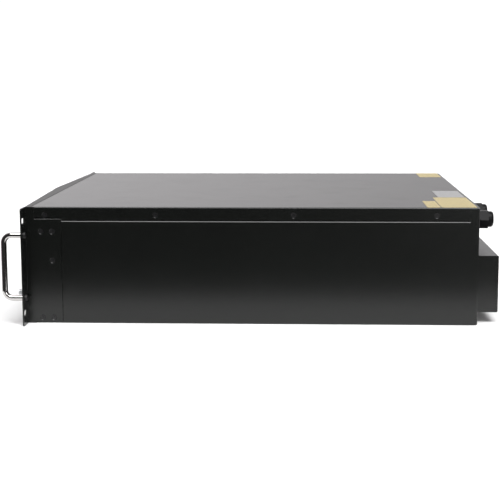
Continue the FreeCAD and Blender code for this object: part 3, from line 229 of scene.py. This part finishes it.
def rubber():
    finish = Finish("seal_ring_rubber")
    bloom = finish.step(finish.noise(4 * MM, 3.0), 0.45, 0.75)
    body = finish.blend(bloom * 0.4, (0.018, 0.018, 0.018, 1), (0.055, 0.055, 0.055, 1))
    return finish.surface(body, 0.62 + 0.16 * bloom, finish.noise(0.5 * MM), 0.01 * MM)


def clear_lens(name, colour, roughness, glow=None, strength=0.0):
    """A glossy lens or pane; dust dulls it a little."""
    finish = Finish(name)
    dust = finish.step(finish.noise(3 * MM, 4.0), 0.50, 0.80)
    body = finish.blend(dust * 0.3, shade(colour, 1.0), shade(colour, 1.4))
    extra = {}
    if glow:
        extra = {"Emission_Color": (*glow, 1.0), "Emission_Strength": strength}
    return finish.surface(body, roughness + 0.12 * dust, finish.noise(6 * MM), 0.002 * MM,
                          Coat_Weight=0.5, Coat_Roughness=0.04, **extra)


def label_stock(name, colour, roughness):
    """Label film with faint ruled rows in place of print, mottled and a little yellowed."""
    finish = Finish(name)
    fibre = finish.noise(0.9 * MM, 3.0)
    mottle = finish.noise(9 * MM, 3.0)
    age = finish.step(finish.noise(32 * MM, 2.0), 0.40, 0.80)
    body = finish.blend(mottle, shade(colour, 0.86), shade(colour, 1.12))
    body = finish.blend(age * 0.25, body, (colour[0], colour[1] * 0.92, colour[2] * 0.80, 1))
    along = finish.node("ShaderNodeSeparateXYZ", None, {0: finish.place})
    within = (along / LABEL_ROW).math("FRACT")
    rule = finish.step(within, 0.50, 0.60) - finish.step(within, 0.80, 0.90)
    breaks = finish.step(finish.noise(5 * MM, 1.0, finish.stretched(3, 1, 1)), 0.46, 0.54)
    body = finish.blend(rule * breaks * 0.55, body, shade(colour, 0.35))
    return finish.surface(body, roughness + 0.12 * mottle, fibre, 0.008 * MM)


def circuit_board():
    finish = Finish("solder_mask")
    weave = finish.noise(0.7 * MM, 1.0, finish.stretched(1, 1, 6))
    tracks = finish.step(finish.grains(4.5 * MM), 0.30, 0.36)
    body = finish.blend(tracks, (0.012, 0.085, 0.035, 1), (0.020, 0.130, 0.055, 1))
    return finish.surface(body, 0.32 + 0.08 * weave, tracks, 0.02 * MM)


def cell_film():
    finish = Finish("blue_cell_film")
    wrinkle = finish.noise(20 * MM, 2.0, finish.stretched(1, 1, 0.3))
    body = finish.blend(wrinkle, (0.025, 0.085, 0.30, 1), (0.04, 0.12, 0.38, 1))
    return finish.surface(body, 0.28 + 0.10 * wrinkle, wrinkle, 0.2 * MM)


def ink(name, colour):
    finish = Finish(name)
    speckle = finish.noise(0.4 * MM, 2.0)
    body = finish.blend(speckle, shade(colour, 0.85), shade(colour, 1.10))
    return finish.surface(body, 0.50 + 0.10 * speckle, speckle, 0.004 * MM)


FINISHES = {
    "chassis_paint": powder_coat("black_powder_coat"),
    "fascia_paint": powder_coat("black_fascia_paint", roughness=0.42),
    "chrome_rod": chrome(),
    "black_screw": plated("black_oxide", (0.007, 0.007, 0.0075), 0.34, metallic=0.0),
    "cell_can": cell_film(),
    "insulator": moulded("fibre_board", (0.62, 0.60, 0.50), 0.75, 1.0 * MM),
    "zinc_steel": plated("zinc_plate", (0.56, 0.57, 0.58), 0.34),
    "busbar_metal": plated("rolled_aluminium", (0.74, 0.75, 0.76), 0.30, (1, 8, 8)),
    "copper_bar": plated("rolled_copper", (0.72, 0.36, 0.22), 0.30, (1, 8, 8)),
    "circuit_board": circuit_board(),
    "heatsink_metal": plated("extruded_aluminium", (0.66, 0.67, 0.68), 0.38, (8, 8, 1)),
    "breaker_case": moulded("breaker_grey", (0.58, 0.59, 0.58), 0.45),
    "black_plastic": moulded("black_moulding", (0.018, 0.018, 0.019), 0.40),
    "red_plastic": moulded("red_moulding", (0.46, 0.018, 0.014), 0.40),
    "white_plastic": moulded("white_moulding", (0.74, 0.74, 0.72), 0.42),
    "stud_brass": plated("turned_brass", (0.70, 0.50, 0.22), 0.22, (6, 1, 1)),
    "port_shield": plated("tinned_shield", (0.62, 0.63, 0.64), 0.28, (1, 1, 6)),
    "smoked_window": clear_lens("smoked_acrylic", (0.006, 0.007, 0.009), 0.06),
    "led_lens": clear_lens("diffused_lens", (0.30, 0.62, 0.34), 0.20, (0.10, 0.90, 0.25), 0.6),
    "button_metal": plated("satin_steel", (0.60, 0.60, 0.61), 0.30, (1, 1, 10)),
    "gland_nylon": moulded("black_nylon", (0.004, 0.004, 0.0045), 0.34, 0.8 * MM, 0.006 * MM,
                           Specular_IOR_Level=0.10),
    "seal_rubber": rubber(),
    "yellow_paper": label_stock("yellow_label", (0.440, 0.365, 0.185), 0.48),
    "silver_paper": label_stock("silver_label", (0.300, 0.300, 0.305), 0.36),
}


FINISH_OF_NODE = {"front_fascia": "fascia_paint"}


def paint_frame():
    """Each node of the model gets the finish that the record's slot names."""
    for part in frame["record"]["subparts"]:
        slot = FINISH_OF_NODE.get(part["node"], part["material_slot"])
        for place in frame["nodes"][part["node"]].material_slots:
            place.material = FINISHES[slot]


# ---------------------------------------------------------------- the prow-shaped face
FASCIA_LOW, FASCIA_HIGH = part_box("front_fascia")
EAR_FRONT_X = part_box("ear_bracket_right")[0].x
PROW = EAR_FRONT_X - FASCIA_LOW.x


def on_face(y, z, proud=0.0):
    """The point of the fascia's face at y and z, or this far in front of it."""
    return Vector((EAR_FRONT_X - PROW * (1 - abs(y) / FASCIA_HIGH.y) - proud, y, z))


def finished(name, mesh, finish):
    """A piece that rides on the chassis; a mesh that has its material is given no finish."""
    piece = bpy.data.objects.new(name, mesh)
    bpy.context.scene.collection.objects.link(piece)
    if finish:
        mesh.materials.clear()
        mesh.materials.append(finish)
    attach(piece, "chassis")


# ---------------------------------------------------------------- printed marks
def stroke_edges(points, width, closed=False):
    """Left and right edges, in y and z, of a line of this width through the points."""
    points = [Vector(point) for point in points]
    count = len(points)
    pairs = []
    for i, point in enumerate(points):
        ways = []
        if i > 0 or closed:
            ways.append((point - points[i - 1]).normalized())
        if i + 1 < count or closed:
            ways.append((points[(i + 1) % count] - point).normalized())
        mean = sum(ways, Vector((0, 0))).normalized()
        half = width / 2 / max(0.5, mean.dot(ways[0]))
        side = Vector((-mean.y, mean.x)) * half
        pairs.append((point + side, point - side))
    return pairs


def arc(y, z, radius, start, end, steps):
    """Points of an arc, anticlockwise in the y and z plane, with angles in degrees."""
    turn = math.radians(end - start) / steps
    angles = [math.radians(start) + turn * i for i in range(steps + 1)]
    return [(y + radius * math.cos(a), z + radius * math.sin(a)) for a in angles]


def circle(y, z, radius, steps=32):
    return arc(y, z, radius, 0, 360, steps)[:-1]


def printed(name, strokes, finish, proud=0.0):
    """Thin closed strips on the fascia: each stroke is points, width and whether it closes."""
    mesh = bmesh.new()
    for points, width, closed in strokes:
        rings = []
        for left, right in stroke_edges(points, width, closed):
            corners = [(left, INK_LIFT), (right, INK_LIFT), (right, -INK_LIFT), (left, -INK_LIFT)]
            rings.append([mesh.verts.new(on_face(p.x, p.y, proud + lift)) for p, lift in corners])
        follows = rings[1:] + ([rings[0]] if closed else [])
        for ring, after in zip(rings, follows):
            for i in range(4):
                j = (i + 1) % 4
                mesh.faces.new((ring[i], ring[j], after[j], after[i]))
        if not closed:
            mesh.faces.new(rings[0])
            mesh.faces.new(rings[-1])
    bmesh.ops.recalc_face_normals(mesh, faces=mesh.faces)
    data = bpy.data.meshes.new(name)
    mesh.to_mesh(data)
    mesh.free()
    finished(name, data, finish)


def middle(node):
    low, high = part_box(node)
    return (low + high) / 2


def rectangle(y, z, half_w, half_h):
    return [(y - half_w, z - half_h), (y + half_w, z - half_h),
            (y + half_w, z + half_h), (y - half_w, z + half_h)]


def polarity_marks(white):
    """A plus and a minus above the two terminals."""
    line = 1.6 * MM
    arm = 4 * MM
    strokes = []
    for node, is_plus in (("terminal_block_positive", True), ("terminal_block_negative", False)):
        y = middle(node).y
        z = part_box(node)[1].z + 9 * MM
        strokes.append(([(y - arm, z), (y + arm, z)], line, False))
        if is_plus:
            strokes.append(([(y, z - arm), (y, z - line / 2)], line, False))
            strokes.append(([(y, z + line / 2), (y, z + arm)], line, False))
    printed("polarity_marks", strokes, white)


def earth_mark(white):
    """Three bars of falling length under a stem, above the ground stud."""
    line = 0.8 * MM
    y = middle("ground_stud").y
    z = middle("ground_stud").z + 15 * MM
    strokes = [([(y, z + 0.5 * MM), (y, z + 5 * MM)], line, False)]
    for i, half in enumerate((4 * MM, 2.6 * MM, 1.2 * MM)):
        level = z - i * 1.8 * MM
        strokes.append(([(y - half, level), (y + half, level)], line, False))
    printed("earth_mark", strokes, white)


def port_places():
    """The y of each socket's middle."""
    first = middle("comm_ports").y - (PORT_COUNT - 1) / 2 * PORT_PITCH
    return [first + i * PORT_PITCH for i in range(PORT_COUNT)]


# What a printed frame goes round, half its width and height, and its line
FRAMES = (
    ("display_window", 29 * MM, 17 * MM, 0.5 * MM),
    ("status_leds", 26 * MM, 4.5 * MM, 0.4 * MM),
    ("comm_ports", 35.5 * MM, 10 * MM, 0.4 * MM),
    ("dip_switch", 9 * MM, 7.6 * MM, 0.4 * MM),
)


def panel_print(white):
    """Thin frames round the display, the lamps, the sockets and the small switches."""
    strokes = []
    for node, half_w, half_h, line in FRAMES:
        place = middle(node)
        strokes.append((rectangle(place.y, place.z, half_w, half_h), line, True))
    above = middle("comm_ports").z + 13 * MM
    half_dash = 3 * MM
    for y in port_places():
        strokes.append(([(y - half_dash, above), (y + half_dash, above)], 0.6 * MM, False))
    reset = middle("reset_button")
    strokes.append((circle(reset.y, reset.z, 4 * MM), 0.5 * MM, True))
    printed("panel_print", strokes, white)


def power_marks(white, glow):
    """A lit ring on the power button's bezel, with the usual open circle above it."""
    line = 0.7 * MM
    place = middle("power_switch")
    ring = [(circle(place.y, place.z, 9 * MM, 48), 1.0 * MM, True)]
    bezel_proud = on_face(place.y, place.z).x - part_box("power_switch")[0].x
    printed("power_ring", ring, glow, min(bezel_proud, 1.6 * MM))
    z = place.z + 19 * MM
    sign = [(arc(place.y, z, 3.2 * MM, 125, 415, 24), line, False),
            ([(place.y, z + 0.8 * MM), (place.y, z + 4.4 * MM)], line, False)]
    printed("power_mark", sign, white)


def display_glyphs(glow):
    """A battery outline with its charge bars, and a level bar below, behind the window."""
    place = middle("display_window")
    z = place.z + 3 * MM
    tip = place.y - 9.4 * MM
    left, right = place.y - 20 * MM, place.y + 18 * MM
    below = place.z - 8 * MM
    strokes = [(rectangle(place.y + 5 * MM, z, 13 * MM, 5.5 * MM), 0.6 * MM, True),
               ([(tip, z - 2 * MM), (tip, z + 2 * MM)], 1.6 * MM, False)]
    for i in range(4):
        y = place.y + (14.6 - i * 5.4) * MM
        strokes.append(([(y, z - 3.8 * MM), (y, z + 3.8 * MM)], 3.4 * MM, False))
    for i in range(3):
        level = z + (3 - 3 * i) * MM
        strokes.append(([(place.y - 14 * MM, level), (left, level)], 1.0 * MM, False))
    strokes.append(([(left, below), (right, below)], 0.8 * MM, False))
    printed("display_glyphs", strokes, glow, 0.4 * MM)


# ---------------------------------------------------------------- repeated pieces
def geometry_tree(name, sizes):
    """An empty geometry tree with its named inputs, and the terms of those inputs."""
    group = bpy.data.node_groups.new(name, "GeometryNodeTree")
    group.interface.new_socket("Geometry", in_out="OUTPUT", socket_type="NodeSocketGeometry")
    group.interface.new_socket("Geometry", in_out="INPUT", socket_type="NodeSocketGeometry")
    kinds = {float: "NodeSocketFloat", int: "NodeSocketInt", tuple: "NodeSocketVector"}
    for size, value in sizes.items():
        kind = "NodeSocketMaterial" if size == "Finish" else kinds[type(value)]
        group.interface.new_socket(size, in_out="INPUT", socket_type=kind)
    tree = Tree(group)
    given = group.nodes.new("NodeGroupInput")
    terms = {socket.name: Term(tree, socket) for socket in given.outputs if socket.name}
    return tree, terms


def end_tree(tree, geometry, finish):
    joined = tree.node("GeometryNodeRealizeInstances", None, {"Geometry": geometry})
    coated = tree.node("GeometryNodeSetMaterial", None, {"Geometry": joined, "Material": finish})
    out = tree.tree.nodes.new("NodeGroupOutput")
    tree.tree.links.new(coated.socket, out.inputs[0])


def grown(name, group, places, sizes):
    """Runs a tree on points at these places and keeps the result as a plain mesh."""
    seeds = bpy.data.meshes.new(name + "_seeds")
    seeds.from_pydata(places, [], [])
    holder = bpy.data.objects.new(name + "_holder", seeds)
    bpy.context.scene.collection.objects.link(holder)
    modifier = holder.modifiers.new("grow", "NODES")
    modifier.node_group = group
    for item in group.interface.items_tree:
        if item.in_out == "INPUT" and item.name in sizes:
            modifier[item.identifier] = sizes[item.name]
    evaluated = holder.evaluated_get(bpy.context.evaluated_depsgraph_get())
    mesh = bpy.data.meshes.new_from_object(evaluated)
    holder.modifiers.remove(modifier)
    bpy.data.objects.remove(holder)
    bpy.data.meshes.remove(seeds)
    mesh.name = name
    finished(name, mesh, None)


def contact_tree():
    """A row of flat bars along Y at every point: spring contacts, or a lining's plates."""
    tree, given = geometry_tree("contact_row", {
        "Count": 8, "Pitch": 0.001, "Size": (0.006, 0.0005, 0.0004), "Finish": None})
    blade = tree.node("GeometryNodeMeshCube", None, {"Size": given["Size"]})
    row = tree.node("GeometryNodeMeshLine", None, {
        "Count": given["Count"], "Offset": tree.vector(0.0, given["Pitch"], 0.0)})
    blades = tree.node("GeometryNodeInstanceOnPoints", None, {"Points": row, "Instance": blade})
    rows = tree.node("GeometryNodeInstanceOnPoints", None, {
        "Points": given["Geometry"], "Instance": blades})
    end_tree(tree, rows, given["Finish"])
    return tree.tree


def thread_tree():
    """A helical ridge that starts at every point and runs towards -X."""
    tree, given = geometry_tree("thread_ridge", {
        "Radius": 0.004, "Turns": 6.0, "Length": 0.008, "Ridge": 0.0005, "Finish": None})
    helix = tree.node("GeometryNodeCurveSpiral", None, {
        "Resolution": 32, "Rotations": given["Turns"], "Start Radius": given["Radius"],
        "End Radius": given["Radius"], "Height": given["Length"]})
    section = tree.node("GeometryNodeCurvePrimitiveCircle", {"mode": "RADIUS"}, {
        "Resolution": 4, "Radius": given["Ridge"]})
    ridge = tree.node("GeometryNodeCurveToMesh", None, {
        "Curve": helix, "Profile Curve": section, "Fill Caps": True})
    laid = tree.node("GeometryNodeTransform", None, {
        "Geometry": ridge, "Rotation": (0.0, -math.pi / 2, 0.0)})
    ridges = tree.node("GeometryNodeInstanceOnPoints", None, {
        "Points": given["Geometry"], "Instance": laid})
    end_tree(tree, ridges, given["Finish"])
    return tree.tree


SOCKET_MIDDLE = 6 * MM       # behind the face
CONTACT_COUNT = 8
CONTACT_PITCH = 1.02 * MM
CONTACT_SIZE = (9 * MM, 0.45 * MM, 0.5 * MM)
LINING_L = 11 * MM           # along the socket
LINING_H = 6.4 * MM
LINING_T = 0.2 * MM
ROOF_W = 11.6 * MM
BACK_W = 11.0 * MM
BACK_T = 0.4 * MM
SIDE_GAP = 11.4 * MM         # between the middles of the lining's two sides


def port_contacts(gold, black):
    """A black lining in each socket, and eight contacts in its roof."""
    level = middle("comm_ports").z
    half_row = (CONTACT_COUNT - 1) / 2 * CONTACT_PITCH
    contacts, roofs, sides, backs = [], [], [], []
    for y in port_places():
        x = on_face(y, 0).x + SOCKET_MIDDLE
        contacts.append((x, y - half_row, level + 4.45 * MM))
        roofs.append((x, y, level + 4.8 * MM))
        sides.append((x, y - SIDE_GAP / 2, level + 1.4 * MM))
        backs.append((x + 5.0 * MM, y, level + 1.3 * MM))
    rows = contact_tree()
    grown("port_contacts", rows, contacts, {
        "Count": CONTACT_COUNT, "Pitch": CONTACT_PITCH, "Size": CONTACT_SIZE,
        "Finish": gold})
    grown("port_roofs", rows, roofs, {
        "Count": 1, "Size": (LINING_L, ROOF_W, LINING_T), "Finish": black})
    grown("port_sides", rows, sides, {
        "Count": 2, "Pitch": SIDE_GAP, "Size": (LINING_L, LINING_T, LINING_H),
        "Finish": black})
    grown("port_backs", rows, backs, {
        "Count": 1, "Size": (BACK_T, BACK_W, LINING_H), "Finish": black})


def threads(brass, zinc, nylon):
    """Thread ridges on the two terminal studs, the ground stud and the two gland bodies."""
    ridge = thread_tree()
    level = middle("terminal_studs").z
    places = []
    for node in ("terminal_block_positive", "terminal_block_negative"):
        y = middle(node).y
        places.append((on_face(y, 0).x + 1.4 * MM, y, level))
    grown("terminal_threads", ridge, places, {
        "Radius": 3.9 * MM, "Turns": 7.0, "Length": 9.2 * MM, "Ridge": 0.42 * MM,
        "Finish": brass})
    place = middle("ground_stud")
    start = (on_face(place.y, 0).x - 5.8 * MM, place.y, place.z)
    grown("ground_thread", ridge, [start], {
        "Radius": 2.9 * MM, "Turns": 7.0, "Length": 7.4 * MM, "Ridge": 0.34 * MM,
        "Finish": zinc})
    end_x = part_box("gland_bodies")[1].x - 0.6 * MM
    caps = [middle("gland_cap_" + side) for side in ("right", "left")]
    places = [(end_x, cap.y, cap.z) for cap in caps]
    grown("gland_threads", ridge, places, {
        "Radius": 7.25 * MM, "Turns": 5.6, "Length": 8.4 * MM, "Ridge": 0.22 * MM,
        "Finish": nylon})


def add_details():
    white = ink("white_ink", (0.62, 0.62, 0.60))
    gold = plated("gold_flash", (0.80, 0.58, 0.24), 0.25)
    glow = clear_lens("display_light", (0.12, 0.50, 0.60), 0.4, (0.30, 0.85, 1.0), 1.4)
    ring = clear_lens("ring_light", (0.12, 0.50, 0.60), 0.3, (0.20, 0.75, 1.0), 1.6)
    polarity_marks(white)
    earth_mark(white)
    panel_print(white)
    power_marks(white, ring)
    display_glyphs(glow)
    port_contacts(gold, FINISHES["black_plastic"])
    threads(FINISHES["stud_brass"], FINISHES["zinc_steel"], FINISHES["gland_nylon"])


# ---------------------------------------------------------------- stage
SHEET_REACH = 0.14           # the white sheet reaches this far round the object
FLOOR_HALF = 60.0
FLOOR_DROP = 0.2 * MM        # the floor lies this far below the sheet
SENSOR_WIDTH = 36.0          # millimetres
DIM_LEVEL = 0.04             # the studio's light in front of the near side
BACKDROP_LEVEL = 0.98        # and behind the object
RIGHT_DIMMING = 0.42         # taken off the backdrop on the right
SEEN_LEVEL = 1.05            # the plain white that the camera sees
SCRIM_ENERGY = 4.2
SCRIM_SPREAD = 50            # degrees
SCRIM_TILT = (25, 8, 0)      # degrees about X, Y and Z
SOFTBOX_PLACE = (1.0, -2.1, 0.60)
SOFTBOX_AIM = (0.1, 0, 0.1)
SOFTBOX_SIZE = (0.8, 0.9)
SOFTBOX_WATTS = 15


def flat_sheet(name, centre_x, centre_y, half_x, half_y, z):
    mesh = bpy.data.meshes.new(name)
    corners = [(centre_x + sx * half_x, centre_y + sy * half_y, z)
               for sx, sy in ((-1, -1), (1, -1), (1, 1), (-1, 1))]
    mesh.from_pydata(corners, [], [(0, 1, 2, 3)])
    made = bpy.data.objects.new(name, mesh)
    bpy.context.scene.collection.objects.link(made)
    return made


def pale_floor():
    """A wide pale floor, and the sheet on it that the paint reflects."""
    finish = Finish("studio_floor")
    tone = finish.noise(0.6, 2.0)
    body = finish.blend(tone, (0.88, 0.88, 0.88, 1), (0.90, 0.90, 0.90, 1))
    material = finish.surface(body, 0.90)
    low, high = cad_bounds
    floor = flat_sheet("floor", 0, 0, FLOOR_HALF, FLOOR_HALF, -FLOOR_DROP)
    floor.visible_glossy = False
    sheet = flat_sheet("floor_sheet", (low.x + high.x) / 2, 0,
                        (high.x - low.x) / 2 + SHEET_REACH, high.y + SHEET_REACH, 0)
    for piece in (floor, sheet):
        piece.data.materials.append(material)


def studio_world():
    """A white studio that is dim in front of the object's near side, where the crew stands."""
    world = bpy.data.worlds.new("studio")
    world.use_nodes = True
    bpy.context.scene.world = world
    tree = Tree(world.node_tree)
    direction = tree.node("ShaderNodeTexCoord", output="Generated")
    parts = tree.node("ShaderNodeSeparateXYZ", None, {0: direction})
    x, y = (Term(tree, parts.socket.node.outputs[i]) for i in range(2))
    backdrop = tree.step(y, -0.25, 0.60)
    right = tree.step(x, -0.35, 0.35)
    level = DIM_LEVEL + backdrop * (BACKDROP_LEVEL - RIGHT_DIMMING * right)
    wall = tree.node("ShaderNodeBackground", None,
                     {"Color": (1.0, 0.975, 0.99, 1), "Strength": level})
    plain = tree.node("ShaderNodeBackground", None, {"Color": (1, 1, 1, 1), "Strength": SEEN_LEVEL})
    seen = tree.node("ShaderNodeLightPath", output="Is Camera Ray")
    both = tree.node("ShaderNodeMixShader", None, {0: seen, 1: wall, 2: plain})
    tree.node("ShaderNodeOutputWorld", None, {"Surface": both})


def radians(angles):
    return [math.radians(angle) for angle in angles]


def placed(name, data, place=(0, 0, 0), rotation=(0, 0, 0)):
    """A light or a camera in the scene."""
    made = bpy.data.objects.new(name, data)
    made.location = place
    made.rotation_euler = rotation
    bpy.context.scene.collection.objects.link(made)
    return made


def lights():
    """A wide scrim overhead, and a softbox on the right that the rear end catches."""
    scrim = bpy.data.lights.new("overhead_scrim", "SUN")
    scrim.energy = SCRIM_ENERGY
    scrim.angle = math.radians(SCRIM_SPREAD)
    placed("overhead_scrim", scrim, rotation=radians(SCRIM_TILT))
    softbox = bpy.data.lights.new("right_softbox", "AREA")
    softbox.shape = "RECTANGLE"
    softbox.size, softbox.size_y = SOFTBOX_SIZE
    softbox.energy = SOFTBOX_WATTS
    towards = Vector(SOFTBOX_AIM) - Vector(SOFTBOX_PLACE)
    placed("right_softbox", softbox, SOFTBOX_PLACE, towards.to_track_quat("-Z", "Y").to_euler())


CAMERA_PLACE = (0.06125, -1.5837, 0.2888)
CAMERA_TURN = (81.490, 0.175, 2.600)     # degrees about X, Y and Z
CAMERA_LENS = 88.93                      # millimetres


def camera():
    data = bpy.data.cameras.new("camera")
    data.lens = CAMERA_LENS
    data.sensor_width = SENSOR_WIDTH
    bpy.context.scene.camera = placed("camera", data, CAMERA_PLACE, radians(CAMERA_TURN))


paint_frame()
add_details()
pale_floor()
studio_world()
lights()
camera()
bpy.context.scene.view_settings.view_transform = "Standard"
